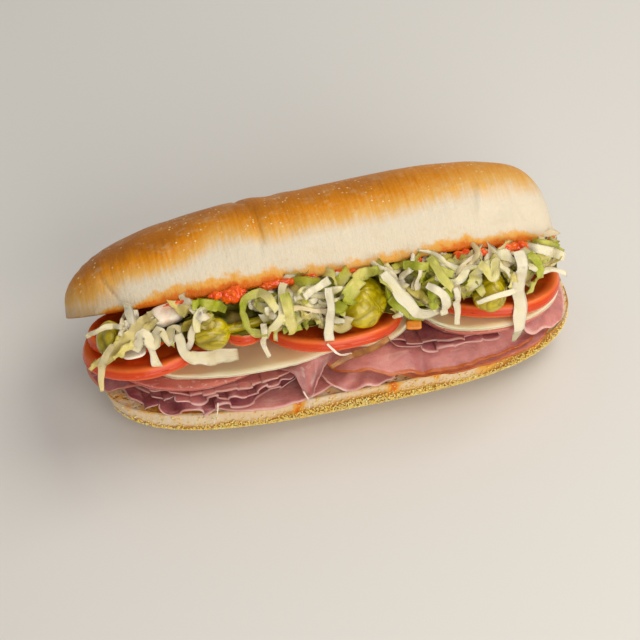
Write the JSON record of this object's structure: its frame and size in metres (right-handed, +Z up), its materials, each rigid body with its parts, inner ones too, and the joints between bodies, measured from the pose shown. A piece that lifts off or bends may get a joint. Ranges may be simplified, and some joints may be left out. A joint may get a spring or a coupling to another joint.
{
  "type": "submarine sandwich",
  "caption": "Long soft roll opened along one side and filled with ham, salami, cheese, tomato, shredded lettuce, pickled peppers, onion and red relish.",
  "frame": {"origin": "middle of the sandwich's footprint, at the table", "axes": "+X along the roll, +Z up, the open filled side faces -Y and the roll's back edge is at +Y"},
  "size_m": [0.2094, 0.0848, 0.0825],
  "materials": {
    "crust": "golden baked crust",
    "crust_pale": "pale soft crust and crumb",
    "ham": "moist cooked meat",
    "salami": "moist cured meat",
    "cheese": "smooth pale cheese",
    "tomato": "wet tomato",
    "lettuce": "shredded leaf",
    "pepper": "pickled, wet",
    "onion": "moist, pale"
  },
  "bodies": {
    "root": {"cheese_centre": "cheese", "cheese_left": "cheese", "cheese_right": "cheese", "ham_bottom_left": "ham", "ham_bottom_right": "ham", "ham_curl": "ham", "ham_flap": "ham", "ham_folded_right": "ham", "ham_left_end": "ham", "ham_long_right": "ham", "ham_right_end": "ham", "ham_shaved_left_low": "ham", "ham_shaved_left_mid": "ham", "ham_shaved_left_top": "ham", "lettuce_heap": "lettuce", "onion_chunk": "onion", "onion_disc": "onion", "pepper_centre": "pepper", "pepper_left": "pepper", "pepper_left_end": "pepper", "pepper_right": "pepper", "roll_bottom": "crust_pale", "roll_top": "crust", "salami_left": "salami", "salami_right": "salami", "tomato_centre": "tomato", "tomato_left": "tomato", "tomato_left_end": "tomato", "tomato_left_inner": "tomato", "tomato_right": "tomato"}
  },
  "joints": []
}
